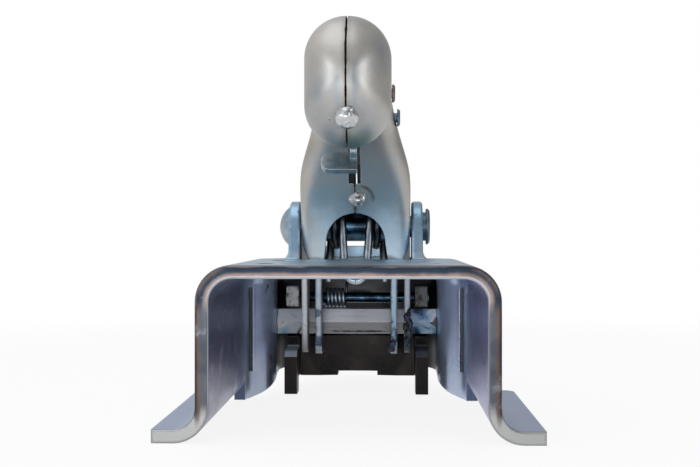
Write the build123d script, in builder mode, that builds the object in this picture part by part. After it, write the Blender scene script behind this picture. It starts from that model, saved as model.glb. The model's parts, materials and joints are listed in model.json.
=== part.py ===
from build123d import *
import math
import os

# Trailer coupling head for a towing ball. Sizes are in millimetres.
# Origin: centre of the towing ball. +Y points to the towing vehicle, +Z is up,
# +X is to the right seen from the trailer.

# Pressed housing
ball_d = 50.0  # towing ball
ball_room = 0.7  # room between ball and nose
plate = 6.0  # sheet of the housing
rear_to_ball = 198.0  # rear end of the channel to the ball centre
feet_below_ball = 29.0  # underside of the feet below the ball centre
channel_width = 120.0  # clear width of the rear channel
channel_height = 77.0  # top face above the underside of the feet
feet_span = 170.0  # overall width across the feet
feet_length = 121.0
top_bend = 10.0  # inner bend radii of the sheet
foot_bend = 9.5
neck_width = 91.0  # clear width of the neck
shoulder_over = 1.0  # inner radius where the wall turns in, over the top bend
neck_bend = 13.0  # outer radius where it turns forward again
groove_r = 1.8  # crease inside the shoulder
groove_turn = 35.0  # place of the crease on the shoulder's bend, in degrees
groove_low = 15.0  # lower end above the feet
foot_corner = 6.0  # front corners of the feet
taper_length = 36.0  # neck to nose
neck_rim_up = 11.0  # lower edge of the neck above the feet
nose_rim_drop = 9.5  # lower edge of the nose below the ball centre
edge_break = 0.8  # sheared rear edge
bolt_hole_d = 13.0
bolt_span_x = 70.0
bolt_span_y = 60.0
bolt_from_rear = 52.0  # centre of the bolt pattern

# Handle pivot
pivot_behind_ball = 58.0
pivot_above_top = 17.5
rivet_d = 12.0
dome_head_d = 22.6
dome_head_h = 6.0
flat_head_d = 20.0
flat_head_h = 4.0
sleeve_d = 16.4
play = 0.05  # radial play of a pin in its hole
ear_round = 14.0
ear_base = 40.0
ear_foot = 5.5  # fold at the foot of an ear
ear_sink = 1.2  # fold's lower end below the top face
ear_break = 1.0  # broken edges of an ear
opening_length = 58.0  # handle opening in the top plate
lip_height = 6.5  # low lip ahead of the opening
lip_gauge = 3.5
lip_width = 40.0

# Handle
handle_width = 59.5  # at the pivot
grip_width = 37.6
shell = 3.0  # sheet of the handle
side_room = 0.95  # between handle and ear
seam = 0.7  # gap between the two half shells
cheek_length = 70.0  # below the pivot
arch_r = 16.2
arch_height = 24.6  # above the top plate
arch_flare = 3.0
slot_width = 6.4
weld_r = 5.2

# Lock plates inside the handle
lock_gauge = 3.6
lock_side = 0.6  # between lock plate and handle spring
lock_eye_r = 13.5
lock_back = 5.0  # rear edge behind the pivot
lock_foot = 23.0  # lower end above the feet
lock_gap = 1.0  # to the clasp and to the bar
plate_rivet_d = 7.0
plate_rivet_drop = 24.0
plate_rivet_ahead = 1.0

# Cross bar and ball clasp
bar_behind_ball = 43.0
bar_above_ball = 11.5
bar_flats = 14.0
bar_spigot_d = 11.0
bar_end_room = 0.2
clasp_wall = 7.5  # wall behind the ball
clasp_ball_room = 0.5
cup_turn = 55.0  # half of the wall round the ball, in degrees
arm_gauge = 7.0
arm_clear = 5.5  # between arm and neck
arm_room = 0.6  # round the corners of the bar
leg_foot = 1.0  # lower end of a leg above the feet
leg_back = 20.0  # rear face of a leg behind the bar
leg_width = 13.0
leg_top = 25.0  # above the feet
leg_bevel = 3.0
saddle_back = 35.0  # rear face of the saddle behind the ball
saddle_low = 8.0  # lower edge above the feet
saddle_high = 31.0
scoop_r = 33.0
scoop_depth = 5.0
toe_depth = 2.5  # of the lock plates' toes into the scoop
notch_width = 23.0
notch_depth = 2.4
clasp_pin_d = 6.0
clasp_pin_ahead = 6.0  # of the bar
clasp_pin_above = 13.0
clip_gauge = 1.2
clip_d = 9.0

# Springs
spring_wire = 4.4
wire_sides = 8  # facets round the wire
small_sides = 6
spring_turns = 1.5
spring_pitch = 4.5
loop_half = 5.9
loop_drop = 34.0  # lower end of the loop below the pivot
tail_length = 30.0  # outer legs of the handle spring
coil_room = 0.3
small_wire = 1.9
small_room = 0.85  # between the small coil and its pin
small_turns = 5
small_pitch = 2.2
small_inset = 18.4  # first coil left of the middle
small_leg = 9.0
trigger_wire = 1.2
trigger_turns = 2
trigger_pitch = 1.4
trigger_leg = 7.0

# Trigger
trigger_gauge = 3.5
trigger_pin_d = 5.0
trigger_boss_r = 7.0
tab_reach = 16.5
tab_length = 12.0
tab_gauge = 3.0
head_d = 9.0
head_h = 1.6

# Places worked out from the sizes above
z_floor = -feet_below_ball
z_top = z_floor + channel_height
z_under = z_top - plate
y_rear = -rear_to_ball
y_feet = y_rear + feet_length
half_in = channel_width / 2
half_out = half_in + plate
half_feet = feet_span / 2
neck_in = neck_width / 2
neck_out = neck_in + plate
nose_out = ball_d / 2 + ball_room + plate
pivot_y = -pivot_behind_ball
pivot_z = z_top + pivot_above_top
bar_y = -bar_behind_ball
bar_z = bar_above_ball
bar_corner = bar_flats / 2 / math.cos(math.radians(30))
half_handle = handle_width / 2
ear_in = half_handle + side_room
ear_out = ear_in + plate
cheek_front = bar_y - bar_corner - 1.2
rivet_r = rivet_d / 2
coil_r = sleeve_d / 2 + coil_room + spring_wire / 2
plate_rivet_y = pivot_y + plate_rivet_ahead
plate_rivet_z = pivot_z - plate_rivet_drop

# The loop of the handle spring leans back to the tongue of the top plate.
loop_lean = math.radians(9.0)
loop_y = pivot_y - coil_r
loop_behind = (pivot_z - z_under) * math.tan(loop_lean) + spring_wire / 2 / math.cos(loop_lean)
tongue_y = loop_y - loop_behind - coil_room
tongue_half = loop_half + spring_wire / 2 + 1.4
opening_front = -taper_length - 4
opening_rear = opening_front - opening_length

# The lock plates stand beside the handle spring.
leg_run = loop_drop / math.cos(loop_lean) - loop_half - spring_wire / 2
spring_rise = spring_turns + (leg_run + tail_length) / (2 * math.pi * coil_r)
lock_in = loop_half + spring_pitch * spring_rise + spring_wire / 2 + lock_side
lock_out = lock_in + lock_gauge
lock_room = half_handle - shell - lock_out

# The crease lies on the inner bend of the shoulder.
shoulder_r = top_bend + shoulder_over
y_bend = y_feet + 1
groove_x = half_in - shoulder_r * (1 - math.cos(math.radians(groove_turn)))
groove_y = y_bend + shoulder_r * math.sin(math.radians(groove_turn))


def pressed_front(inset):
    """Shoulder, neck and nose as one solid, drawn in by inset on every side."""
    wide = half_out - inset
    neck = neck_out - inset
    nose = nose_out - inset
    top = z_top - inset
    low = z_floor - inset
    start = y_feet - inset
    bend = top_bend + plate - inset
    wide_r = shoulder_r + plate - inset
    neck_r = neck_bend + inset
    turn = math.acos(1 - (wide - neck) / (wide_r + neck_r))
    y_neck = y_bend + (wide_r + neck_r) * math.sin(turn)
    angle = math.degrees(turn)
    with BuildPart() as form:
        with BuildSketch(Plane.XY.offset(top)):
            with BuildLine():
                Polyline((0, start), (wide, start), (wide, y_bend))
                CenterArc((wide - wide_r, y_bend), wide_r, 0, angle)
                CenterArc((neck + neck_r, y_neck), neck_r, 180 + angle, -angle)
                Polyline((neck, y_neck), (neck, -taper_length), (0, -taper_length), (0, start))
            make_face()
            mirror(about=Plane.YZ)
        extrude(amount=low - top)
        fillet(form.faces().sort_by(Axis.Z)[-1].edges().filter_by(Axis.X, reverse=True), bend)
        for t in (0, 0.26, 0.53, 0.79, 1):
            ease = t * t * (3 - 2 * t)
            half = neck + (nose - neck) * ease
            crown = top + (nose - top) * ease
            with BuildSketch(Plane.XZ.offset(taper_length * (1 - t))) as arch:
                with Locations((0, (crown + low) / 2)):
                    Rectangle(2 * half, crown - low)
                fillet(arch.vertices().group_by(Axis.Y)[-1], bend + (nose - 0.5 - bend) * ease)
        loft()
        with BuildSketch(Plane.XZ) as dome:
            with Locations((nose / 2, (nose + low) / 2)):
                Rectangle(nose, nose - low)
            fillet(dome.vertices().group_by(Axis.Y)[-1].sort_by(Axis.X)[-1], nose - 0.5)
        revolve(axis=Axis.Z, revolution_arc=180)
    return form.part


front_form = pressed_front(0)
front_hollow = pressed_front(plate)

# One ear, folded up from the top plate beside the handle.
with BuildPart() as ear:
    with BuildSketch(Plane.XZ.offset(-(pivot_y + ear_base / 2))):
        with BuildLine():
            Polyline(
                (ear_out, z_top + ear_foot - ear_sink),
                (ear_out, pivot_z + ear_round + 1),
                (ear_in, pivot_z + ear_round + 1),
                (ear_in, z_under + plate / 3),
                (ear_out + ear_foot, z_under + plate / 3),
                (ear_out + ear_foot, z_top - ear_sink),
            )
            CenterArc((ear_out + ear_foot, z_top + ear_foot - ear_sink), ear_foot, 180, 90)
        make_face()
    extrude(amount=ear_base)
    with BuildSketch(Plane.YZ.offset(ear_in - 1)) as ear_side:
        with Locations((pivot_y, pivot_z)):
            Circle(ear_round)
        with Locations((pivot_y, z_under)):
            Rectangle(ear_base, 2)
        make_hull(ear_side.edges())
    extrude(amount=plate + ear_foot + 3, mode=Mode.INTERSECT)
    top_arcs = ear.edges().filter_by(GeomType.CIRCLE).group_by(Axis.Z)[-1]
    chamfer(top_arcs, ear_break)
    with BuildSketch(Plane.YZ.offset(ear_in - 1)):
        with Locations((pivot_y, pivot_z)):
            Circle(rivet_r + play)
    extrude(amount=plate + 3, mode=Mode.SUBTRACT)

with BuildPart() as housing:
    with BuildSketch(Plane.XZ.offset(rear_to_ball)):
        with BuildLine():
            FilletPolyline(
                (0, z_under),
                (half_in, z_under),
                (half_in, z_floor),
                (half_feet, z_floor),
                radius=[top_bend, foot_bend + plate],
            )
            Line((half_feet, z_floor), (half_feet, z_floor + plate))
            FilletPolyline(
                (half_feet, z_floor + plate),
                (half_out, z_floor + plate),
                (half_out, z_top),
                (0, z_top),
                radius=[foot_bend, top_bend + plate],
            )
            Line((0, z_top), (0, z_under))
        make_face()
        mirror(about=Plane.YZ)
    extrude(amount=-feet_length)
    front_edges = housing.edges().filter_by(Axis.Z).group_by(Axis.Y)[-1].sort_by(Axis.X)
    fillet([front_edges[0], front_edges[-1]], foot_corner)
    chamfer(housing.faces().sort_by(Axis.Y)[0].edges(), edge_break)
    add(front_form)
    add(front_hollow, mode=Mode.SUBTRACT)
    # The lower edge rises in front of the feet and again at the nose.
    with BuildSketch(Plane.YZ):
        with BuildLine():
            FilletPolyline(
                (y_feet, z_floor),
                (y_feet + 8, z_floor),
                (y_feet + 28, z_floor + neck_rim_up),
                (-nose_out / 2, z_floor + neck_rim_up + 1),
                (0, -nose_rim_drop),
                (nose_out + 2, -nose_rim_drop),
                radius=10,
            )
            Polyline(
                (nose_out + 2, -nose_rim_drop),
                (nose_out + 2, z_floor - plate),
                (y_feet, z_floor - plate),
                (y_feet, z_floor),
            )
        make_face()
    extrude(amount=half_out + 1, both=True, mode=Mode.SUBTRACT)
    # Crease where the wall turns into the shoulder.
    with BuildSketch(Plane.XY.offset(z_floor + groove_low)):
        with Locations((groove_x, groove_y), (-groove_x, groove_y)):
            Circle(groove_r)
    extrude(amount=z_under - top_bend - z_floor - groove_low, mode=Mode.SUBTRACT)
    # Handle opening, with a tongue that carries the loop of the handle spring.
    with BuildSketch(Plane.XY.offset(z_top + 1)):
        with Locations((0, (opening_rear + opening_front) / 2)):
            RectangleRounded(2 * ear_in, opening_front - opening_rear, 3)
        with Locations((0, (opening_rear + tongue_y) / 2)):
            Rectangle(2 * tongue_half, tongue_y - opening_rear, mode=Mode.SUBTRACT)
    extrude(amount=-plate - 4, mode=Mode.SUBTRACT)
    with BuildSketch(Plane.XY.offset(z_top - 1)):
        with Locations((0, opening_front + lip_gauge)):
            Rectangle(lip_width, lip_gauge)
    extrude(amount=lip_height + 1)
    add(ear.part)
    mirror(ear.part, about=Plane.YZ)
    with Locations((0, y_rear + bolt_from_rear, z_top)):
        with GridLocations(bolt_span_x, bolt_span_y, 2, 2):
            Hole(bolt_hole_d / 2, depth=plate + 1)
    with BuildSketch(Plane.YZ):
        with Locations((bar_y, bar_z)):
            Circle(bar_spigot_d / 2 + play)
    extrude(amount=neck_out + 1, both=True, mode=Mode.SUBTRACT)

# Six-sided bar across the neck, upset over the outside of the walls.
with BuildPart() as clasp_bar:
    with BuildSketch(Plane.YZ):
        with Locations((bar_y, bar_z)):
            RegularPolygon(bar_corner, 6)
    extrude(amount=neck_in - bar_end_room, both=True)
    with BuildSketch(Plane.YZ):
        with Locations((bar_y, bar_z)):
            Circle(bar_spigot_d / 2)
    extrude(amount=neck_out + 0.1, both=True)
    for side in (1, -1):
        with BuildSketch(Plane.YZ.offset(side * (neck_out + 0.1))):
            with Locations((bar_y, bar_z)):
                Circle(bar_spigot_d / 2 + 1.5)
        extrude(amount=side * 2.2)
    chamfer(clasp_bar.faces().sort_by(Axis.X)[-1].edges(), 1.2)
    chamfer(clasp_bar.faces().sort_by(Axis.X)[0].edges(), 1.2)

# Pivot rivet: domed head on the left, flat head on the right.
with BuildPart() as handle_rivet:
    with BuildSketch(Plane.XZ.offset(-pivot_y)) as rivet_half:
        with BuildLine():
            left = -ear_out - 0.1
            right = ear_out + 0.1
            cap_r = (dome_head_d**2 / 4 + dome_head_h**2) / (2 * dome_head_h)
            Polyline(
                (left - dome_head_h, pivot_z),
                (right + flat_head_h, pivot_z),
                (right + flat_head_h, pivot_z + flat_head_d / 2 - 1),
                (right + flat_head_h - 1, pivot_z + flat_head_d / 2),
                (right + flat_head_h - 2, pivot_z + flat_head_d / 2),
                (right + flat_head_h - 2, pivot_z + flat_head_d / 2 - 2),
                (right, pivot_z + flat_head_d / 2 - 2),
                (right, pivot_z + rivet_r),
                (left, pivot_z + rivet_r),
                (left, pivot_z + dome_head_d / 2),
            )
            RadiusArc((left, pivot_z + dome_head_d / 2), (left - dome_head_h, pivot_z), -cap_r)
        make_face()
    revolve(axis=Axis((0, pivot_y, pivot_z), (1, 0, 0)))

# Sections of the handle, from the pivot up and back to the grip. Each is the rear or
# underside point and the front or top point from the pivot, the width, and the corner
# radii at those two sides.
grip = grip_width
handle_sections = [
    (-9.5, -25.0, 19.4, -5.5, handle_width, 6.0, 8.0),
    (-14.6, -13.0, 20.0, -1.0, handle_width, 6.0, 8.0),
    (-19.0, -1.5, 19.8, 4.0, handle_width, 6.0, 8.0),
    (-26.5, 11.5, 15.5, 15.5, handle_width, 7.0, 10.0),
    (-36.5, 28.5, 2.0, 31.5, handle_width - 1.5, 11.0, 14.0),
    (-45.0, 42.0, -18.0, 51.5, grip + 0.48 * (handle_width - grip), 12.0, 13.0),
    (-56.0, 49.0, -42.0, 72.5, grip + 0.1 * (handle_width - grip), 13.0, 13.0),
    (-80.0, 51.0, -76.0, 85.5, grip, 0.43 * grip, 0.4 * grip),
    (-95.0, 47.6, -93.0, 88.0, grip, 0.46 * grip, 0.43 * grip),
    (-110.0, 41.9, -109.5, 89.3, grip, 0.48 * grip, 0.46 * grip),
    (-124.0, 36.0, -124.0, 89.8, grip, 0.49 * grip, 0.48 * grip),
    (-137.0, 32.8, -137.0, 89.5, grip, 0.49 * grip, 0.49 * grip),
]
grip_end = 26.5


def handle_form(inset):
    """Solid of the handle's outside, drawn in by inset."""
    rows = []
    for ay, az, by, bz, wide, ra, rb in handle_sections:
        long = math.hypot(by - ay, bz - az)
        uy = (by - ay) / long
        uz = (bz - az) / long
        mid = ((ay + by) / 2, (az + bz) / 2)
        rows.append((mid, (uy, uz), long - 2 * inset, wide - 2 * inset, ra - inset, rb - inset))
    mid, up, tall, wide, ra, rb = rows[-1]
    shares = [0.38, 0.66, 0.85, 0.95]
    if inset == 0:
        shares.append(0.99)
    for share in shares:
        size = math.sqrt(1 - share**2)
        back = (mid[0] - share * (grip_end - inset), mid[1])
        rows.append((back, up, tall * size, wide * size, ra * size, rb * size))
    if inset > 0:
        mid, up, tall, wide, ra, rb = rows[0]
        below = (mid[0] + 14 * up[1], mid[1] - 14 * up[0])
        rows.insert(0, (below, up, tall, wide, ra, rb))
    with BuildPart() as form:
        for mid, up, tall, wide, ra, rb in rows:
            at = Plane(
                origin=(0, pivot_y + mid[0], pivot_z + mid[1]),
                x_dir=(1, 0, 0),
                z_dir=(0, -up[1], up[0]),
            )
            with BuildSketch(at) as ring:
                Rectangle(wide, tall)
                fillet(ring.vertices().group_by(Axis.Y)[0], ra)
                fillet(ring.vertices().group_by(Axis.Y)[-1], rb)
        loft()
    return form.part


handle_outside = handle_form(0)
handle_inside = handle_form(shell)

trigger_y = pivot_y - 40.0
trigger_z = pivot_z + 56.5
grip_rivet_y = pivot_y - 64.0
grip_rivet_z = pivot_z + 66.0
grip_half = grip_width / 2
arch_z = z_top + arch_height - arch_r

# Right half of the pressed handle, with the cheek that reaches below the top plate.
with BuildPart() as handle_shell_right:
    add(handle_outside)
    add(handle_inside, mode=Mode.SUBTRACT)
    with BuildSketch(Plane.XZ.offset(-pivot_y)) as arch_cut:
        with Locations((0, arch_z)):
            Circle(arch_r)
        with BuildLine():
            Polyline(
                (-arch_r, arch_z),
                (arch_r, arch_z),
                (arch_r + arch_flare, z_under - plate),
                (-arch_r - arch_flare, z_under - plate),
                close=True,
            )
        make_face()
    extrude(amount=40, mode=Mode.SUBTRACT)
    with BuildSketch(Plane.YZ):
        with Locations((pivot_y - 42, pivot_z + 37.5)):
            Rectangle(40, 30)
    extrude(amount=slot_width / 2, both=True, mode=Mode.SUBTRACT)
    with BuildSketch(Plane.YZ.offset(half_handle - shell)) as cheek_side:
        with BuildLine():
            Polyline(
                (pivot_y - 12, pivot_z),
                (pivot_y - 13, pivot_z - 30),
                (pivot_y - 10, pivot_z - cheek_length),
                (cheek_front - 1, pivot_z - cheek_length),
                (cheek_front, pivot_z - 34),
                (pivot_y + 13, pivot_z - 14),
                (pivot_y + 13, pivot_z),
                close=True,
            )
        make_face()
        fillet(cheek_side.vertices().group_by(Axis.Y)[0], 6)
    extrude(amount=shell)
    for y, z, d in (
        (pivot_y, pivot_z, rivet_d),
        (plate_rivet_y, plate_rivet_z, plate_rivet_d),
        (trigger_y, trigger_z, trigger_pin_d),
        (grip_rivet_y, grip_rivet_z, trigger_pin_d),
    ):
        with BuildSketch(Plane.YZ):
            with Locations((y, z)):
                Circle(d / 2 + play)
        extrude(amount=half_handle + 1, mode=Mode.SUBTRACT)
    split(bisect_by=Plane.YZ.offset(seam / 2), keep=Keep.TOP)

with BuildPart() as handle_shell_left:
    mirror(handle_shell_right.part, about=Plane.YZ)

# Weld spots that bridge the seam on the grip's end and above the arch.
grip_mid_y = pivot_y + handle_sections[-1][0]
grip_mid_z = pivot_z + (handle_sections[-1][1] + handle_sections[-1][3]) / 2
grip_tall = (handle_sections[-1][3] - handle_sections[-1][1]) / 2
weld_down = 0.62
with BuildPart() as seam_weld_upper:
    with Locations(
        (
            0.4,
            grip_mid_y - (grip_end - 1.6) * math.sqrt(1 - weld_down**2),
            grip_mid_z - (grip_tall - 1.6) * weld_down,
        )
    ):
        Sphere(weld_r)
    add(handle_outside, mode=Mode.SUBTRACT)
with BuildPart() as seam_weld_lower:
    with Locations((1.6, pivot_y - 27.0, pivot_z + 15.3)):
        Sphere(weld_r)
    add(handle_outside, mode=Mode.SUBTRACT)

with BuildPart() as pivot_sleeve:
    with BuildSketch(Plane.YZ):
        with Locations((pivot_y, pivot_z)):
            Circle(sleeve_d / 2)
            Circle(rivet_r + play, mode=Mode.SUBTRACT)
    extrude(amount=half_handle - shell - play, both=True)

# Lock plate: hangs on the sleeve, its toe stands behind the clasp under the bar.
toe_y = -saddle_back + toe_depth - lock_gap
toe_z = bar_z - bar_flats / 2 - lock_gap
with BuildPart() as lock_plate_right:
    with BuildSketch(Plane.YZ.offset(lock_in)) as lock_face:
        with BuildLine():
            Polyline(
                (pivot_y - lock_back, pivot_z),
                (pivot_y - lock_back, z_floor + lock_foot),
                (toe_y, z_floor + lock_foot),
                (toe_y, toe_z),
                (cheek_front, toe_z),
                (cheek_front, pivot_z - 30),
                (pivot_y + 12, pivot_z),
                close=True,
            )
        make_face()
        fillet(lock_face.vertices().group_by(Axis.Y)[0].sort_by(Axis.X)[0], 8)
        fillet(lock_face.vertices().sort_by(Axis.X)[-2:], 2)
        with Locations((pivot_y, pivot_z)):
            Circle(lock_eye_r)
        with Locations((pivot_y, pivot_z)):
            Circle(sleeve_d / 2 + play, mode=Mode.SUBTRACT)
        with Locations((plate_rivet_y, plate_rivet_z)):
            Circle(plate_rivet_d / 2 + play, mode=Mode.SUBTRACT)
    extrude(amount=lock_gauge)
with BuildPart() as lock_plate_left:
    mirror(lock_plate_right.part, about=Plane.YZ)

# Shouldered rivet between lock plate and cheek.
with BuildPart() as plate_rivet_right:
    for x, long, r in (
        (lock_in, half_handle - lock_in + 2 * play, plate_rivet_d / 2),
        (lock_out + play, lock_room - 2 * play, plate_rivet_d / 2 + 2.2),
        (half_handle + play, side_room / 2, plate_rivet_d / 2 + 1.8),
    ):
        with BuildSketch(Plane.YZ.offset(x)):
            with Locations((plate_rivet_y, plate_rivet_z)):
                Circle(r)
        extrude(amount=long)
with BuildPart() as plate_rivet_left:
    mirror(plate_rivet_right.part, about=Plane.YZ)

# Finger trigger: a flat lever in the middle of the handle with a tab folded to the left.
tab_dir = (0.66, 0.75)
tab_y = trigger_y - 16.0
tab_z = trigger_z - 23.6
with BuildPart() as trigger:
    with BuildSketch(Plane.YZ.offset(-trigger_gauge / 2)) as lever:
        with Locations((trigger_y, trigger_z), (trigger_y - 12.5, trigger_z - 18)):
            Circle(trigger_boss_r - 2)
        make_hull(lever.edges())
    extrude(amount=trigger_gauge)
    with BuildSketch(Plane.YZ.offset(-trigger_gauge / 2)) as tail:
        with Locations((trigger_y, trigger_z), (trigger_y + 15, trigger_z - 21)):
            Circle(trigger_boss_r - 2)
        make_hull(tail.edges())
    extrude(amount=trigger_gauge)
    with BuildSketch(Plane.YZ.offset(-trigger_gauge / 2)):
        with Locations((trigger_y, trigger_z)):
            Circle(trigger_boss_r)
    extrude(amount=trigger_gauge)
    tab_at = Plane(origin=(0, tab_y, tab_z), x_dir=(1, 0, 0), z_dir=(0, -tab_dir[1], tab_dir[0]))
    with BuildSketch(tab_at) as tab:
        with Locations(((trigger_gauge / 2 - tab_reach) / 2, 0)):
            Rectangle(tab_reach + trigger_gauge / 2, tab_length)
        fillet(tab.vertices().group_by(Axis.X)[0], 5)
    extrude(amount=-tab_gauge)
    with BuildSketch(Plane.YZ):
        with Locations((trigger_y, trigger_z)):
            Circle(trigger_pin_d / 2 + play)
    extrude(amount=tab_reach, both=True, mode=Mode.SUBTRACT)


def headed_pin(y, z, half):
    """Pin through both half shells with a low head on each side."""
    with BuildPart() as pin:
        with BuildSketch(Plane.YZ):
            with Locations((y, z)):
                Circle(trigger_pin_d / 2)
        extrude(amount=half + 0.2, both=True)
        for side in (1, -1):
            with BuildSketch(Plane.YZ.offset(side * (half + 0.1))):
                with Locations((y, z)):
                    Circle(head_d / 2)
            extrude(amount=side * head_h)
        chamfer(pin.faces().sort_by(Axis.X)[-1].edges(), head_h / 2)
        chamfer(pin.faces().sort_by(Axis.X)[0].edges(), head_h / 2)
    return pin.part


with BuildPart() as trigger_pin:
    add(headed_pin(trigger_y, trigger_z, grip_half + 0.1 * (handle_width - grip_width) / 2 + 2.3))
with BuildPart() as grip_rivet:
    add(headed_pin(grip_rivet_y, grip_rivet_z, grip_half + 0.6))

# Double torsion spring round the sleeve. Half of it is swept and mirrored.
lift = spring_pitch / (2 * math.pi * coil_r)
slope = math.atan(lift)
coil_start = loop_half + leg_run * math.sin(slope)
down = Vector(0, -math.sin(loop_lean), -math.cos(loop_lean))
turn_in = loop_half / math.cos(slope)
with BuildPart() as handle_spring:
    with BuildLine() as spring_path:
        coil = Helix(
            spring_pitch,
            spring_pitch * spring_turns,
            coil_r,
            center=(0, 0, 0),
            direction=(0, 0, 1),
            lefthand=True,
        )
    # The coil starts where the leaning leg is tangent to it.
    coil_at = Plane(
        origin=(coil_start, pivot_y, pivot_z),
        x_dir=(0, -math.cos(loop_lean), math.sin(loop_lean)),
        z_dir=(1, 0, 0),
    )
    wound = coil_at.from_local_coords(coil)
    first = wound @ 0
    toward = wound % 0
    corner = first - toward * leg_run
    middle = corner - Vector(corner.X, 0, 0) - down * (turn_in * math.sin(slope))
    low = middle + down * turn_in
    bow = Vector(math.cos(math.pi / 4 - slope / 2), 0, 0) * turn_in + down * (
        turn_in * math.sin(math.pi / 4 - slope / 2)
    )
    with BuildLine() as spring_route:
        ThreePointArc(low, middle + bow, corner)
        Line(corner, first)
        add(wound)
        Line(wound @ 1, (wound @ 1) + (wound % 1) * tail_length)
    with BuildSketch(Plane(origin=low, x_dir=(0, 1, 0), z_dir=(1, 0, 0))):
        RegularPolygon(spring_wire / 2, wire_sides)
    sweep(path=spring_route.wires()[0])
    mirror(about=Plane.YZ)


# Ball clasp: two arms hung on the bar, and a saddle that closes behind the ball.
arm_out = neck_in - arm_clear
arm_in = arm_out - arm_gauge
seat_r = bar_corner + arm_room
pin_y = bar_y + clasp_pin_ahead
pin_z = bar_z + clasp_pin_above
leg_y = bar_y - leg_back
cup_r = ball_d / 2 + clasp_ball_room
with BuildPart() as ball_clasp:
    with BuildSketch(Plane.YZ.offset(arm_in)) as arm_side:
        with BuildLine():
            FilletPolyline(
                (leg_y, z_floor + leg_foot),
                (leg_y, z_floor + leg_top - leg_bevel),
                (leg_y + leg_bevel, z_floor + leg_top),
                (bar_y - 2, z_floor + leg_top + 1),
                (bar_y - 8, bar_z + seat_r - 0.5),
                (bar_y - 8, pin_z + clasp_pin_d + 1.5),
                (pin_y + 5, pin_z + clasp_pin_d + 1.5),
                (-saddle_back + 3, z_floor + saddle_low),
                (leg_y + leg_width, z_floor + saddle_low + 2),
                (leg_y + leg_width, z_floor + leg_foot),
                (leg_y, z_floor + leg_foot),
                radius=1.2,
            )
        make_face()
        with Locations((bar_y, bar_z)):
            Circle(seat_r, mode=Mode.SUBTRACT)
        with Locations((bar_y - seat_r, bar_z)):
            Rectangle(2 * seat_r, 2 * seat_r, mode=Mode.SUBTRACT)
        with Locations((pin_y, pin_z)):
            Circle(clasp_pin_d / 2 + play, mode=Mode.SUBTRACT)
    extrude(amount=arm_gauge)
    mirror(about=Plane.YZ)
    # Saddle between the arms
    with BuildSketch(Plane.XZ.offset(saddle_back)):
        with Locations((0, z_floor + (saddle_low + saddle_high) / 2)):
            Rectangle(2 * arm_in, saddle_high - saddle_low)
    extrude(amount=-clasp_wall)
    with BuildSketch(Plane.XY.offset(z_floor + saddle_low)):
        with BuildLine():
            back_r = cup_r + clasp_wall
            back_half = math.radians(cup_turn)
            end_x = back_r * math.sin(back_half)
            end_y = -back_r * math.cos(back_half)
            CenterArc((0, 0), back_r, 270 - cup_turn, 2 * cup_turn)
            Line((end_x, end_y), (-end_x, end_y))
        make_face()
    extrude(amount=saddle_high - saddle_low)
    Sphere(cup_r, mode=Mode.SUBTRACT)
    # Dished rear face
    with BuildSketch(Plane.XY.offset(z_floor + scoop_r)):
        with BuildLine():
            dish_r = (scoop_r**2 + scoop_depth**2) / (2 * scoop_depth)
            RadiusArc((scoop_r, -saddle_back), (0, -saddle_back + scoop_depth), -dish_r)
            Polyline(
                (0, -saddle_back + scoop_depth),
                (0, -saddle_back - 1),
                (scoop_r, -saddle_back - 1),
                (scoop_r, -saddle_back),
            )
        make_face()
    revolve(axis=Axis((0, 0, z_floor + scoop_r), (0, 1, 0)), mode=Mode.SUBTRACT)
    with BuildSketch(Plane.XZ.offset(saddle_back + 1)):
        with Locations((0, z_floor + saddle_low)):
            Rectangle(notch_width, 2 * notch_depth)
    extrude(amount=-saddle_back, mode=Mode.SUBTRACT)

with BuildPart() as clasp_pin:
    with BuildSketch(Plane.YZ):
        with Locations((pin_y, pin_z)):
            Circle(clasp_pin_d / 2)
    extrude(amount=arm_out + 1.5 * clip_gauge, both=True)
    chamfer(clasp_pin.edges().filter_by(GeomType.CIRCLE), 0.6)

with BuildPart() as clasp_clip_right:
    with BuildSketch(Plane.YZ.offset(arm_out + play)):
        with Locations((pin_y, pin_z)):
            Circle(clip_d / 2)
            Circle(clasp_pin_d / 2 + play, mode=Mode.SUBTRACT)
    extrude(amount=clip_gauge)
with BuildPart() as clasp_clip_left:
    mirror(clasp_clip_right.part, about=Plane.YZ)


def coil_spring(at, pitch, turns, r, wire, leg):
    """Torsion spring round a pin, with a straight leg at each end."""
    with BuildPart() as spring:
        with BuildLine():
            turns_line = Helix(pitch, pitch * turns, r)
        placed = at.from_local_coords(turns_line)
        start = placed @ 0
        end = placed @ 1
        with BuildLine() as route:
            Line(start - (placed % 0) * leg, start)
            add(placed)
            Line(end, end + (placed % 1) * leg)
        with BuildSketch(Plane(origin=start - (placed % 0) * leg, z_dir=placed % 0)):
            RegularPolygon(wire / 2, small_sides)
        sweep(path=route.wires()[0])
    return spring.part


small_r = clasp_pin_d / 2 + small_room + small_wire / 2
with BuildPart() as clasp_spring:
    add(
        coil_spring(
            Plane(origin=(-small_inset, pin_y, pin_z), x_dir=(0, 0, -1), z_dir=(1, 0, 0)),
            small_pitch,
            small_turns + 0.25,
            small_r,
            small_wire,
            small_leg,
        )
    )
with BuildPart() as trigger_spring:
    add(
        coil_spring(
            Plane(
                origin=(trigger_gauge / 2 + trigger_wire, trigger_y, trigger_z),
                x_dir=(0, 0, 1),
                z_dir=(1, 0, 0),
            ),
            trigger_pitch,
            trigger_turns + 0.4,
            trigger_pin_d / 2 + coil_room + trigger_wire / 2,
            trigger_wire,
            trigger_leg,
        )
    )

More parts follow.
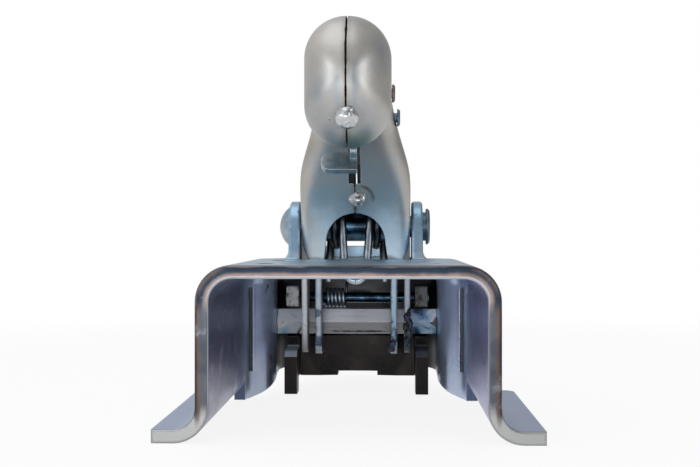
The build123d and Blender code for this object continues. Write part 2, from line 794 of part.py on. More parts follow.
os.makedirs("parts", exist_ok=True)
pieces = {
    "housing": housing,
    "clasp_bar": clasp_bar,
    "handle_rivet": handle_rivet,
    "handle_spring": handle_spring,
    "handle_shell_left": handle_shell_left,
    "handle_shell_right": handle_shell_right,
    "seam_weld_upper": seam_weld_upper,
    "seam_weld_lower": seam_weld_lower,
    "pivot_sleeve": pivot_sleeve,
    "lock_plate_left": lock_plate_left,
    "lock_plate_right": lock_plate_right,
    "plate_rivet_left": plate_rivet_left,
    "plate_rivet_right": plate_rivet_right,
    "grip_rivet": grip_rivet,
    "trigger": trigger,
    "trigger_pin": trigger_pin,
    "trigger_spring": trigger_spring,
    "ball_clasp": ball_clasp,
    "clasp_pin": clasp_pin,
    "clasp_spring": clasp_spring,
    "clasp_clip_left": clasp_clip_left,
    "clasp_clip_right": clasp_clip_right,
}
for name, piece in pieces.items():
    piece.part.label = name
    export_step(piece.part, "parts/" + name + ".step")
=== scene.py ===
import json
import math
import random

import bmesh
import bpy
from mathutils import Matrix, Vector, noise


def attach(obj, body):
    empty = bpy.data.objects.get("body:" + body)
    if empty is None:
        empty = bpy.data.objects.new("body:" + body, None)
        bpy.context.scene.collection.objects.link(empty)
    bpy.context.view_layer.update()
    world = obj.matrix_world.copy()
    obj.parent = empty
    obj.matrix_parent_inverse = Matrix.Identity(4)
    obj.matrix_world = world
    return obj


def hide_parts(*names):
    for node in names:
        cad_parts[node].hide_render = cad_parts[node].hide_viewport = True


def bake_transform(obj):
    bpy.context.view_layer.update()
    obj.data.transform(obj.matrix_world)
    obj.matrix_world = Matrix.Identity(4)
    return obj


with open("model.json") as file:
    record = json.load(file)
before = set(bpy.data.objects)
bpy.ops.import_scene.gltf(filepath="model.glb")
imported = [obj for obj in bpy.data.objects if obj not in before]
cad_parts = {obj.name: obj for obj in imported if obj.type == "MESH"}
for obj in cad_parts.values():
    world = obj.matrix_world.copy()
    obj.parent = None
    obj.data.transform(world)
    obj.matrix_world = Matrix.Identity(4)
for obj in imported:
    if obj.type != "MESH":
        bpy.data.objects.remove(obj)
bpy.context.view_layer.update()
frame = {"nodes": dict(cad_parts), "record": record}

nodes = frame["nodes"]

# Places in millimetres, in the frame of the coupling: origin at the towing ball, +Y forward, +Z up.
REAR_END = -198.0
FLOOR = -29.0
SHEET = 6.0
BEND_X = 50.0  # centre of the channel's upper bends
BEND_Z = 32.0
BEND_R = 10.0
BAR_Z = 11.5
LOWER_WELD = (1.6, -85.0, 80.8)
UPPER_WELD = (0.4, -214.5, 110.1)
SPATTER = (-6.7, -213.6, 109.2)  # a drop of weld metal on the grip
CREASE = (58.0, -69.7)  # axis of the crease in a shoulder
CREASE_WAY = (0.82, 0.57)  # into the sheet
LEG_START = (-17.4, -37.0, 21.3)  # the rear leg of the clasp's spring lies below these
LEG_SLOPE = 0.18
WELD_R = 5.3
JOIN_GAP = 0.02  # vertices of neighbouring faces lie closer than this
SMOOTH_ANGLE = 32.0  # degrees; edges that turn more stay sharp
METRES = 0.001
MILLIMETRES = 1000.0

# Camera, in metres and degrees, as the photo was taken.
CAMERA_AT = (0.0161, -0.6498, 0.0613)
CAMERA_TILT = 90.03
CAMERA_TURN = 1.907
LENS = 54.3

# Where one look turns into another: from, to.
FOOT_Z = (-14.0, -22.0)  # top of the feet
WALLS_Y = (-100.0, -74.0)  # from the channel's walls to the shoulders
NECK_Y = (-51.0, -43.0)  # from the shoulders into the neck, greased and in painted shade
EAR_X = (30.0, 37.5)
EAR_Z = (50.0, 53.0)
GRIP_Z = (132.0, 116.0)  # from the grip down to the handle's neck
CHEEK_Z = (42.0, 36.0)  # from the handle's neck down to the cheeks
BAR_ENDS = (27.0, 33.0)
LEGS_X = (32.0, 34.0)  # legs of the clasp
HOOKS_Z = (14.0, 19.0)  # upper hooks of the clasp
KNEES_Z = (-10.0, -2.0)  # knees of the clasp's legs
MIDDLE_X = (-10.0, 10.0)  # from the left half to the right half


def tone(red, green, blue):
    """A colour seen on screen, 0 to 255, as the linear colour of a shader."""
    linear = []
    for level in (red, green, blue):
        share = level / 255
        linear.append(share / 12.92 if share <= 0.04045 else ((share + 0.055) / 1.055) ** 2.4)
    return tuple(linear)


class Signal:
    """A value in a finish. Arithmetic on it adds Math nodes."""

    def __init__(self, finish, socket):
        self.finish = finish
        self.socket = socket

    def math(self, operation, *values):
        return self.finish.add("Math", {"operation": operation}, dict(enumerate(values)))

    def __add__(self, other):
        return self.math("ADD", self, other)

    __radd__ = __add__

    def __sub__(self, other):
        return self.math("SUBTRACT", self, other)

    def __rsub__(self, other):
        return self.math("SUBTRACT", other, self)

    def __mul__(self, other):
        return self.math("MULTIPLY", self, other)

    __rmul__ = __mul__

    def __truediv__(self, other):
        return self.math("DIVIDE", self, other)

    def __abs__(self):
        return self.math("ABSOLUTE", self)

    def most(self, other):
        return self.math("MAXIMUM", self, other)

    def root(self):
        return self.math("SQRT", self)


class Finish:
    """The nodes of one surface, or of the sky."""

    def __init__(self, owner):
        owner.use_nodes = True
        self.owner = owner
        self.tree = owner.node_tree
        self.tree.nodes.clear()
        self.spot = self.add("TexCoord", out="Object")
        self.x, self.y, self.z = (axis * MILLIMETRES for axis in self.axes(self.spot))

    def add(self, kind, settings=None, sockets=None, out=0):
        """One node: its type, its settings, its sockets' values or links, and the output that is used."""
        node = self.tree.nodes.new("ShaderNode" + kind)
        for key, value in (settings or {}).items():
            if key == "stops":
                ramp = node.color_ramp.elements
                while len(ramp) < len(value):
                    ramp.new(1.0)
                for stop, (place, colour) in zip(ramp, value):
                    stop.position = place
                    stop.color = (*colour, 1.0)
            else:
                setattr(node, key, value)
        for key, value in (sockets or {}).items():
            if isinstance(value, Signal):
                self.tree.links.new(value.socket, node.inputs[key])
            elif isinstance(value, tuple) and len(node.inputs[key].default_value) == 4:
                node.inputs[key].default_value = (*value, 1.0)
            else:
                node.inputs[key].default_value = value
        return Signal(self, node.outputs[out]) if node.outputs else None

    def axes(self, vector):
        """The three parts of a vector."""
        first = self.add("SeparateXYZ", sockets={0: vector})
        outputs = first.socket.node.outputs
        return [Signal(self, outputs[axis]) for axis in "XYZ"]

    def step(self, value, low, high):
        """0 below low, 1 above high, and smooth between. Low may be the larger."""
        return self.add(
            "MapRange",
            {"interpolation_type": "SMOOTHSTEP"},
            {"Value": value, "From Min": low, "From Max": high},
        )

    def band(self, value, low, high, soft):
        """1 between low and high, fading over soft on both sides."""
        return self.step(value, low - soft, low + soft) * self.step(value, high + soft, high - soft)

    def noise(self, per_mm, detail=3.0, roughness=0.55, stretch=(1.0, 1.0, 1.0), warp=0.0, shift=0.0):
        """Cloudy noise around 0.5, its scale in waves per millimetre."""
        scaled = self.add(
            "Mapping",
            sockets={"Vector": self.spot, "Scale": stretch, "Location": (shift, shift * 0.7, -shift)},
        )
        return self.add(
            "TexNoise",
            sockets={
                "Vector": scaled,
                "Scale": per_mm * MILLIMETRES,
                "Detail": detail,
                "Roughness": roughness,
                "Distortion": warp,
            },
        )

    def mix(self, share, first, second):
        """Colour that goes from first to second with share."""
        return self.add("Mix", {"data_type": "RGBA"}, {0: share, 6: first, 7: second}, out=2)

    def ramp(self, value, stops):
        """Colour along value, through stops of place and colour."""
        return self.add("ValToRGB", {"stops": stops}, {0: value})

    def far(self, place):
        """Distance in millimetres from a place."""
        dx, dy, dz = (axis - at for axis, at in zip((self.x, self.y, self.z), place))
        return (dx * dx + dy * dy + dz * dz).root()

    def flat(self):
        """The normal of the mesh."""
        return self.add("NewGeometry", out="Normal")

    def rounded(self, radius):
        """A normal that rounds the edges by radius in millimetres."""
        return self.add("Bevel", {"samples": 6}, {"Radius": radius * METRES})

    def worn(self, rounded):
        """1 on the edges that a rounded normal turns away, 0 on the faces."""
        sockets = {0: rounded, 1: self.flat()}
        turned = self.add("VectorMath", {"operation": "DOT_PRODUCT"}, sockets, out="Value")
        return self.step(turned, 0.995, 0.93)

    def bump(self, height, depth, normal):
        """A normal with height in it, depth in millimetres."""
        return self.add(
            "Bump",
            sockets={"Height": height, "Distance": depth * METRES, "Strength": 1.0, "Normal": normal},
        )

    def metal(self, colour, roughness, metallic, normal, **fixed):
        """Ends the finish with a metal surface; fixed holds its constant sockets."""
        sockets = {"Base Color": colour, "Roughness": roughness, "Metallic": metallic, "Normal": normal}
        for name, value in fixed.items():
            sockets[name.replace("_", " ")] = value
        shader = self.add("BsdfPrincipled", sockets=sockets)
        self.add("OutputMaterial", sockets={"Surface": shader})
        return self.owner


def new_finish(name):
    """The finish of a new material."""
    return Finish(bpy.data.materials.new(name))


def housing_zinc():
    """Zinc plated sheet with a blue passivation, and the sheared end with its bands."""
    f = new_finish("housing_zinc")
    rounded = f.rounded(0.7)
    worn = f.worn(rounded)
    nx, ny, nz = f.axes(f.flat())
    cloud = f.noise(0.02, detail=4.0, warp=0.6)
    patch = f.noise(0.055, detail=5.0, roughness=0.6, shift=3.0)
    fine = f.noise(0.9, detail=2.0, roughness=0.6)
    drawn = f.noise(0.25, detail=3.0, stretch=(1.0, 0.06, 1.0))

    outside = f.ramp(
        cloud * 0.6 + patch * 0.4,
        [(0.3, tone(134, 164, 190)), (0.5, tone(158, 184, 204)), (0.68, tone(184, 198, 208))],
    )
    # Faces towards the inside of the channel: purple walls, blue shoulders, and grease with painted shade
    # inside the neck. The right wall and shoulder are painted lighter than the left as painted light.
    inward = f.step(nx * f.x + nz * (f.z + 40.0), 2.0, -6.0)
    clouds = cloud * 0.55 + patch * 0.45
    shaded_left_wall = f.ramp(
        clouds,
        [
            (0.34, tone(50, 64, 90)),
            (0.47, tone(84, 94, 124)),
            (0.56, tone(92, 86, 122)),
            (0.68, tone(156, 164, 192)),
        ],
    )
    lit_right_wall = f.ramp(
        clouds,
        [
            (0.34, tone(110, 122, 156)),
            (0.47, tone(146, 152, 192)),
            (0.56, tone(146, 140, 188)),
            (0.68, tone(184, 192, 218)),
        ],
    )
    right = f.step(f.x, -20.0, 20.0)
    wall = f.mix(right, shaded_left_wall, lit_right_wall)
    shoulder = f.ramp(
        patch * 0.6 + cloud * 0.4,
        [(0.34, tone(160, 172, 192)), (0.5, tone(184, 196, 214)), (0.66, tone(206, 216, 226))],
    )
    # Painted light: the right shoulder is lighter and bluer than the left.
    shoulder = f.mix(right * 0.8, shoulder, f.mix(patch, tone(196, 214, 246), tone(224, 234, 250)))
    inside = f.mix(f.step(f.y + (patch - 0.5) * 20.0, *WALLS_Y), wall, shoulder)
    # Grease and painted shade: the inside of the neck turns nearly black.
    inside = f.mix(f.step(f.y + (patch - 0.5) * 6.0, *NECK_Y), inside, tone(18, 20, 25))
    # Grease smeared down the left shoulder.
    smear_left = f.noise(0.16, detail=4.0, roughness=0.6, stretch=(1.0, 1.0, 0.35), warp=0.5, shift=31.0)
    smear_left = f.step(smear_left, 0.6, 0.66) * f.step(f.y, -70.0, -63.0) * f.step(f.x, -40.0, -52.0)
    inside = f.mix(smear_left * 0.85, inside, tone(20, 22, 26))
    colour = f.mix(inward, outside, inside)

    # A crease in each shoulder: painted shade at the bottom, painted highlights along its edges.
    crease_x = abs(f.x) - CREASE[0]
    crease_y = f.y - CREASE[1]
    crease = (crease_x * crease_x + crease_y * crease_y).root()
    sunk = f.step(crease_x * CREASE_WAY[0] + crease_y * CREASE_WAY[1], 0.0, 1.1)
    groove = f.step(crease, 2.05, 1.85) * f.band(f.z, -15.0, 33.0, 0.6) * sunk
    crease_highlight = f.band(crease, 1.95, 2.8, 0.3) * f.band(f.z, -12.0, 30.0, 4.0) * inward
    colour = f.mix(crease_highlight * 0.45, colour, tone(208, 218, 232))
    colour = f.mix(groove, colour, tone(34, 40, 54))
    step_face = f.step(ny, -0.6, -0.9) * f.band(f.y, -78.5, -75.5, 0.4) * f.step(f.z, -2.0, -8.0)
    colour = f.mix(step_face, colour, tone(74, 84, 110))

    # The top of the feet is periwinkle.
    foot = f.step(f.z, *FOOT_Z) * f.step(nz, 0.2, 0.8)
    colour = f.mix(foot * 0.85, colour, f.mix(patch, tone(136, 150, 190), tone(164, 178, 204)))

    # Depth into the sheet at the sheared end: 0 on the inside, 1 on the outside.
    over_x = (abs(f.x) - BEND_X).most(0.0)
    over_z = (f.z - BEND_Z).most(0.0)
    depth = ((over_x * over_x + over_z * over_z).root() - BEND_R) / SHEET
    streak = f.noise(0.035, detail=4.0, roughness=0.6, shift=8.0)
    smear = f.noise(0.45, detail=3.0, stretch=(0.2, 1.0, 0.2), shift=5.0)
    torn = depth + (streak - 0.5) * 0.4 + (smear - 0.5) * 0.24
    across = f.ramp(
        torn,
        [
            (0.03, tone(160, 156, 157)),
            (0.12, tone(148, 132, 128)),
            (0.34, tone(128, 112, 109)),
            (0.44, tone(84, 82, 88)),
            (0.54, tone(46, 55, 68)),
            (0.76, tone(40, 49, 61)),
            (0.84, tone(44, 50, 60)),
            (0.92, tone(112, 108, 110)),
            (1.0, tone(122, 116, 114)),
        ],
    )
    upright = f.ramp(
        torn,
        [
            (0.05, tone(98, 100, 105)),
            (0.3, tone(84, 86, 91)),
            (0.44, tone(76, 86, 100)),
            (0.58, tone(86, 84, 88)),
            (0.68, tone(98, 82, 77)),
            (0.86, tone(82, 70, 67)),
            (0.95, tone(56, 54, 58)),
        ],
    )
    bands = f.mix(f.step(f.z, 34.0, 26.0), across, upright)
    glint = f.step(f.noise(0.1, detail=4.0, roughness=0.65, shift=12.0), 0.6, 0.74)
    bands = f.mix(glint * 0.4, bands, tone(150, 156, 166))
    lines = f.noise(0.9, detail=2.0, stretch=(0.05, 1.0, 0.05), shift=2.0)
    bands = f.mix(f.step(lines, 0.56, 0.66) * 0.35, bands, tone(40, 42, 50))
    lower = f.step(f.z + (streak - 0.5) * 10.0 + f.band(depth, 0.6, 1.02, 0.14) * 5.0, -9.0, -18.0)
    bands = f.mix(lower, bands, f.mix(patch, tone(148, 150, 152), tone(172, 172, 170)))
    burr_width = 0.08 + f.step(f.z, 24.0, 40.0) * 0.1
    burr = f.step(depth - burr_width, 0.05, -0.05) * f.step(f.z, -20.0, -8.0)
    bands = f.mix(burr * 0.9, bands, tone(190, 193, 198))
    corner = f.step(over_x, 1.0, 7.0) * f.step(over_z, 1.0, 7.0) * f.step(depth, 0.5, 0.85)
    bands = f.mix(corner * 0.7, bands, tone(100, 90, 87))
    end_face = f.step(f.y, REAR_END + 0.9, REAR_END + 0.5)
    colour = f.mix(end_face, colour, bands)

    scuff = f.noise(0.05, detail=2.0, roughness=0.5, stretch=(1.0, 0.35, 1.0), warp=0.4)
    scuff = f.band(scuff, 0.494, 0.506, 0.006) * f.step(patch, 0.5, 0.62)
    scuff = scuff * (1.0 - end_face) * f.step(f.y, -60.0, -72.0)
    colour = f.mix(scuff * 0.4, colour, tone(196, 202, 206))
    colour = f.mix(worn * 0.45 * (1.0 - end_face), colour, tone(206, 206, 204))
    # The ears are scraped dark along their edges.
    ear = f.step(f.z, *EAR_Z) * f.band(abs(f.x), *EAR_X, 0.4)
    rubbed = f.step(f.noise(0.3, detail=5.0, roughness=0.7, shift=40.0) + worn * 0.1, 0.6, 0.66)
    colour = f.mix(ear * rubbed * 0.7, colour, tone(66, 62, 62))
    colour = f.mix(ear * 0.4, colour, tone(104, 146, 178))
    soot = f.step(f.noise(0.22, detail=5.0, roughness=0.7, shift=20.0), 0.68, 0.78)
    colour = f.mix(soot * 0.6, colour, tone(40, 42, 50))

    roughness = 0.32 + (patch - 0.5) * 0.26 + end_face * 0.1 + (fine - 0.5) * 0.1
    height = fine * 0.35 + drawn * 0.3 + patch * 1.2 + cloud * 1.4 * inward
    height = height + (torn + lines * 0.6) * end_face * 0.6
    metallic = 1.0 - inward * (1.0 - end_face) * 0.35 - groove * 0.4
    return f.metal(colour, roughness, metallic, f.bump(height, 0.06, rounded))


def handle_zinc():
    """Satin zinc: warm grey on the grip, blue-grey on the neck, with heat marks round the welds."""
    f = new_finish("handle_zinc")
    rounded = f.rounded(0.6)
    worn = f.worn(rounded)
    cloud = f.noise(0.025, detail=4.0, warp=0.5, shift=2.0)
    patch = f.noise(0.07, detail=5.0, roughness=0.62)
    fine = f.noise(1.1, detail=2.0, roughness=0.6)
    grip = f.ramp(
        cloud * 0.6 + patch * 0.4,
        [(0.32, tone(158, 162, 166)), (0.48, tone(176, 175, 172)), (0.68, tone(194, 189, 183))],
    )
    up = f.z + (patch - 0.5) * 26.0 + (cloud - 0.5) * 18.0
    neck = f.ramp(
        (up - 40.0) / 80.0,
        [
            (0.08, tone(196, 216, 230)),
            (0.3, tone(186, 212, 228)),
            (0.5, tone(156, 176, 185)),
            (0.68, tone(160, 168, 172)),
            (0.9, tone(162, 156, 150)),
        ],
    )
    neck = f.mix(f.step(patch, 0.55, 0.7) * 0.5, neck, tone(176, 176, 170))
    # Painted highlights: pale beige down the rounded flanks of the neck, and a paler patch low on the left.
    side = f.mix(patch, tone(166, 158, 150), tone(188, 182, 174))
    lit_flank = f.step(abs(f.x) + (patch - 0.5) * 14.0, 20.0, 28.0) * f.step(f.z, 56.0, 72.0)
    neck = f.mix(lit_flank * 0.8, neck, side)
    pale = f.step(f.x, -14.0, -26.0) * f.step(f.z + (patch - 0.5) * 16.0, 82.0, 64.0)
    neck = f.mix(pale * 0.7, neck, tone(206, 206, 204))
    on_neck = f.step(f.z + (cloud - 0.5) * 14.0 - f.y * 0.1, *GRIP_Z)
    colour = f.mix(on_neck, grip, neck)
    green = f.band(f.z, 97.0, 103.0, 4.0) * f.step(f.y, -150.0, -190.0)
    green = green * f.step(f.x + (patch - 0.5) * 6.0, -4.0, 2.0)
    colour = f.mix(green * 0.6, colour, tone(112, 152, 138))

    # The cheeks under the top plate are bare grey, with black grease at the right.
    cheek = f.step(f.z, *CHEEK_Z)
    bare = f.mix(patch, tone(196, 198, 202), tone(228, 230, 232))
    bluish = f.mix(patch, tone(118, 140, 156), tone(160, 176, 186))
    bare = f.mix(f.step(f.x, 0.0, 20.0) * 0.7, bare, bluish)
    bare = f.mix(f.step(f.z, 12.0, -4.0) * 0.7, bare, tone(84, 80, 78))
    colour = f.mix(cheek, colour, bare)
    # Painted shade in the gap beside the ears, and dark grease along the foot above the top plate.
    ear_gap_shade = f.step(abs(f.x), 25.0, 26.5) * f.step(f.y, -71.5, -70.0) * f.band(f.z, 40.0, 58.0, 3.0)
    foot = f.step(f.z + (patch - 0.5) * 9.0, 50.0, 47.0) * f.step(f.z, 38.0, 42.0)
    colour = f.mix(ear_gap_shade.most(foot * 0.7), colour, tone(26, 30, 36))
    black = f.noise(0.16, detail=5.0, roughness=0.7, warp=1.2) + f.step(f.x, 0.0, 24.0) * 0.1
    black = f.step(black, 0.58, 0.64) * f.step(f.z, 26.0, 8.0)
    colour = f.mix(black * 0.9, colour, tone(14, 18, 22))

    # Heat marks and the rub mark beside the lower weld.
    ring = f.far(LOWER_WELD) + (patch - 0.5) * 3.0
    colour = f.mix(f.band(ring, 5.0, 6.6, 1.2) * 0.35, colour, tone(168, 160, 140))
    rub = f.band(f.far(LOWER_WELD) + (fine - 0.5) * 1.6, 7.4, 9.0, 0.8)
    rub = rub * f.step(f.x, 1.5, 4.5) * f.step(f.z, 77.0, 82.0)
    brown = f.mix(f.noise(0.5, detail=3.0), tone(70, 56, 48), tone(140, 118, 100))
    colour = f.mix(rub * 0.8, colour, brown)
    heated = f.step(f.far(UPPER_WELD) + (patch - 0.5) * 3.0, 8.5, 5.0)
    colour = f.mix(heated * 0.3, colour, tone(124, 126, 128))

    # Dark line along the seam, wider in places, brown beside it, and a soft blue tint on both sides that is
    # painted shade between the highlights.
    ragged = abs(f.x) + (f.noise(0.16, detail=4.0, roughness=0.65, shift=6.0) - 0.5) * 1.6
    colour = f.mix(f.step(ragged, 2.6, 0.8) * 0.3, colour, tone(128, 118, 108))
    colour = f.mix(f.step(ragged, 0.62, 0.34), colour, tone(18, 15, 13))
    blue_seam_shade = f.band(abs(f.x), 2.4, 4.2, 1.8) * f.band(f.z, 112.0, 126.0, 10.0)
    blue_seam_shade = blue_seam_shade * f.step(f.y, -190.0, -205.0)
    colour = f.mix(blue_seam_shade * 0.55, colour, tone(122, 144, 162))
    specks = f.step(f.noise(0.35, detail=4.0, roughness=0.7, shift=15.0), 0.71, 0.77)
    colour = f.mix(specks * 0.55, colour, tone(78, 68, 60))
    colour = f.mix(worn * 0.35, colour, tone(206, 202, 196))

    drop = f.step(f.far(SPATTER), 1.0, 0.5)
    roughness = 0.45 + (patch - 0.5) * 0.2 + (fine - 0.5) * 0.12 - black * 0.1
    metallic = 1.0 - black * 0.9 - cheek * (1.0 - black) * 0.65
    height = fine * 0.3 + patch * 0.9 + cloud * 1.2 + drop * 5.0 + black * 2.0
    rounded = f.add("Mix", {"data_type": "VECTOR"}, {0: cheek, 4: rounded, 5: f.rounded(1.5)}, out=1)
    return f.metal(colour, roughness, metallic, f.bump(height, 0.06, rounded))


def rivet_zinc():
    """Plated rivets and pins with light wear and blue in the hollows."""
    f = new_finish("rivet_zinc")
    rounded = f.rounded(0.5)
    worn = f.worn(rounded)
    patch = f.noise(0.12, detail=4.0, roughness=0.6)
    fine = f.noise(1.4, detail=2.0)
    colour = f.ramp(
        patch,
        [(0.3, tone(116, 146, 168)), (0.5, tone(152, 165, 174)), (0.7, tone(176, 178, 178))],
    )
    # Painted shade: the rivet head on the right is darker and bluer and keeps no bright wear.
    right = f.step(f.x, 20.0, 36.0) * f.step(f.z, 90.0, 80.0)
    colour = f.mix(right * 0.75, colour, f.mix(patch, tone(46, 66, 82), tone(78, 100, 116)))
    colour = f.mix(worn * 0.4 * (1.0 - right), colour, tone(194, 192, 188))
    # In the handle: the trigger's pin is blue, the rivet in the grip is brown.
    blue = f.mix(patch, tone(48, 62, 76), tone(112, 136, 152))
    high = f.mix(f.step(f.z, 124.0, 129.0), blue, tone(112, 94, 86))
    colour = f.mix(f.step(f.z, 100.0, 110.0) * 0.85, colour, high)
    specks = f.step(f.noise(0.5, detail=4.0, roughness=0.7), 0.66, 0.75)
    colour = f.mix(specks * 0.6, colour, tone(62, 60, 60))
    roughness = 0.42 + (patch - 0.5) * 0.2
    return f.metal(colour, roughness, 1.0, f.bump(fine * 0.4 + patch, 0.06, rounded))


def dark_pin():
    """Pins inside, nearly black with a blue sheen."""
    f = new_finish("dark_pin")
    rounded = f.rounded(0.4)
    drawn = f.noise(0.5, detail=3.0, stretch=(0.06, 1.0, 1.0))
    patch = f.noise(0.14, detail=4.0, roughness=0.6)
    colour = f.ramp(
        drawn * 0.5 + patch * 0.5,
        [(0.36, tone(24, 30, 38)), (0.5, tone(42, 56, 70)), (0.62, tone(76, 112, 136))],
    )
    roughness = 0.26 + (patch - 0.5) * 0.16
    return f.metal(colour, roughness, 1.0, f.bump(drawn * 0.5 + patch * 0.5, 0.05, rounded))


def weld_silver():
    """Bright weld metal with ripples and dark pits."""
    f = new_finish("weld_silver")
    lumps = f.noise(0.3, detail=4.0, roughness=0.6, warp=0.8)
    fine = f.noise(1.6, detail=3.0)
    colour = f.ramp(
        lumps,
        [(0.35, tone(168, 172, 176)), (0.55, tone(192, 195, 198)), (0.7, tone(210, 211, 210))],
    )
    colour = f.mix(f.step(lumps, 0.4, 0.34) * 0.4, colour, tone(96, 96, 98))
    roughness = 0.25 + fine * 0.08
    return f.metal(colour, roughness, 1.0, f.bump(lumps * 0.5 + fine * 0.05, 0.04, f.flat()))


def lock_steel():
    """Zinc plated plates with dark grease towards the bar."""
    f = new_finish("lock_steel")
    rounded = f.rounded(1.6)
    worn = f.worn(rounded)
    patch = f.noise(0.1, detail=5.0, roughness=0.62)
    drawn = f.noise(0.5, detail=3.0, stretch=(1.0, 1.0, 0.1))
    fine = f.noise(1.3, detail=2.0)
    colour = f.ramp(
        patch,
        [(0.3, tone(104, 122, 136)), (0.5, tone(132, 144, 154)), (0.7, tone(166, 171, 174))],
    )
    colour = f.mix(drawn * 0.3, colour, tone(96, 96, 98))
    colour = f.mix(f.step(f.x, 0.0, 15.0) * 0.4, colour, tone(112, 142, 162))
    colour = f.mix(worn * 0.25, colour, tone(212, 212, 210))
    grease = patch + f.band(f.z, -2.0, 24.0, 8.0) * 0.1 + f.step(f.x, 0.0, 20.0) * 0.06
    grease = f.step(grease, 0.62, 0.7)
    colour = f.mix(grease * 0.9, colour, f.mix(drawn, tone(12, 18, 24), tone(18, 84, 128)))
    roughness = 0.36 + (patch - 0.5) * 0.2 - grease * 0.12
    metallic = 0.75 - grease * 0.6
    height = fine * 0.3 + drawn * 0.4 + grease * 1.5
    return f.metal(colour, roughness, metallic, f.bump(height, 0.08, rounded))


def trigger_zinc():
    """Blue-grey plated trigger with bright edges."""
    f = new_finish("trigger_zinc")
    rounded = f.rounded(0.7)
    worn = f.worn(rounded)
    patch = f.noise(0.12, detail=4.0, roughness=0.6)
    fine = f.noise(1.3, detail=2.0)
    colour = f.ramp(
        patch,
        [(0.3, tone(104, 126, 140)), (0.5, tone(138, 154, 162)), (0.7, tone(178, 182, 182))],
    )
    colour = f.mix(worn * 0.6, colour, tone(200, 196, 190))
    roughness = 0.34 + (patch - 0.5) * 0.2
    return f.metal(colour, roughness, 1.0, f.bump(fine * 0.4 + patch, 0.06, rounded))


def bar_steel():
    """Bright bar, near white on the faces that look up and dark on those that look down as painted light
    and shade, with a blue and white film of grease at its ends and a black line along its lower edge.
    """
    f = new_finish("bar_steel")
    rounded = f.rounded(0.6)
    worn = f.worn(rounded)
    nz = f.axes(f.flat())[2]
    drawn = f.noise(0.5, detail=4.0, stretch=(0.08, 1.0, 1.0))
    patch = f.noise(0.14, detail=5.0, roughness=0.65, warp=0.5)
    fine = f.noise(1.5, detail=2.0)
    colour = f.ramp(
        drawn * 0.6 + patch * 0.4,
        [(0.34, tone(226, 231, 236)), (0.5, tone(240, 243, 246)), (0.66, tone(250, 251, 252))],
    )
    # Painted shade: the faces that look down are dark.
    under = f.step(nz, 0.1, -0.3)
    colour = f.mix(under * 0.85, colour, f.mix(drawn, tone(60, 60, 64), tone(94, 94, 98)))
    colour = f.mix(f.step(patch, 0.56, 0.68) * under * 0.5, colour, tone(104, 92, 84))
    colour = f.mix(worn * 0.6, colour, tone(232, 234, 236))

    # Grease pushed to the ends: a pale film with blue in it, its white partly a painted highlight on the
    # left, and painted darker on the right as shade.
    ends = f.step(abs(f.x) + (patch - 0.5) * 6.0, *BAR_ENDS)
    film = f.noise(0.075, detail=2.0, roughness=0.45, warp=0.8, shift=14.0)
    left_film = f.ramp(
        film,
        [
            (0.26, tone(30, 116, 176)),
            (0.35, tone(190, 220, 238)),
            (0.42, tone(248, 250, 252)),
            (0.68, tone(232, 242, 248)),
        ],
    )
    right_film = f.ramp(
        film,
        [
            (0.34, tone(16, 22, 30)),
            (0.4, tone(20, 92, 142)),
            (0.47, tone(170, 212, 234)),
            (0.56, tone(244, 248, 250)),
        ],
    )
    colour = f.mix(ends * 0.9, colour, f.mix(f.step(f.x, *MIDDLE_X), left_film, right_film))

    # A ragged black line where the lower face ends, and black corners at the ends.
    wave = f.noise(0.09, detail=4.0, roughness=0.6, stretch=(1.0, 0.0, 0.0), shift=9.0)
    line = abs(f.z - (BAR_Z - 5.6)) - (wave - 0.41) * 4.0
    line = f.step(line, 0.3, -0.1) * f.band(f.x, -14.0, 18.0, 5.0) * under
    corner = f.step(film + f.step(abs(f.x), 36.0, 45.0) * 0.1 + under * 0.12, 0.66, 0.72) * ends
    black = line.most(corner)
    colour = f.mix(black * 0.92, colour, tone(14, 17, 22))
    roughness = 0.3 + (drawn - 0.5) * 0.2 - ends * 0.06
    metallic = 0.12 - ends * 0.08 + under * 0.6 * (1.0 - ends)
    height = drawn * 0.12 + fine * 0.2 + (film + black) * ends * 1.2
    return f.metal(colour, roughness, metallic, f.bump(height, 0.1, rounded))


def spring_wire():
    """Spring wire: grey loops and tails, dark coils."""
    f = new_finish("spring_wire")
    rounded = f.rounded(0.3)
    patch = f.noise(0.2, detail=4.0, roughness=0.6)
    fine = f.noise(1.6, detail=2.0)
    colour = f.ramp(
        patch,
        [(0.3, tone(96, 104, 114)), (0.5, tone(128, 136, 144)), (0.7, tone(156, 162, 168))],
    )
    coils = f.step(abs(f.x), 8.2, 9.6) * f.step(f.z, 44.0, 54.0)
    colour = f.mix(coils * 0.9, colour, tone(34, 38, 44))
    small = f.step(f.z, 40.0, 36.0)
    colour = f.mix(small * 0.8, colour, f.mix(patch, tone(150, 166, 180), tone(206, 214, 220)))
    roughness = 0.34 + (patch - 0.5) * 0.16
    return f.metal(colour, roughness, 1.0, f.bump(fine * 0.12 + patch * 0.3, 0.04, rounded))


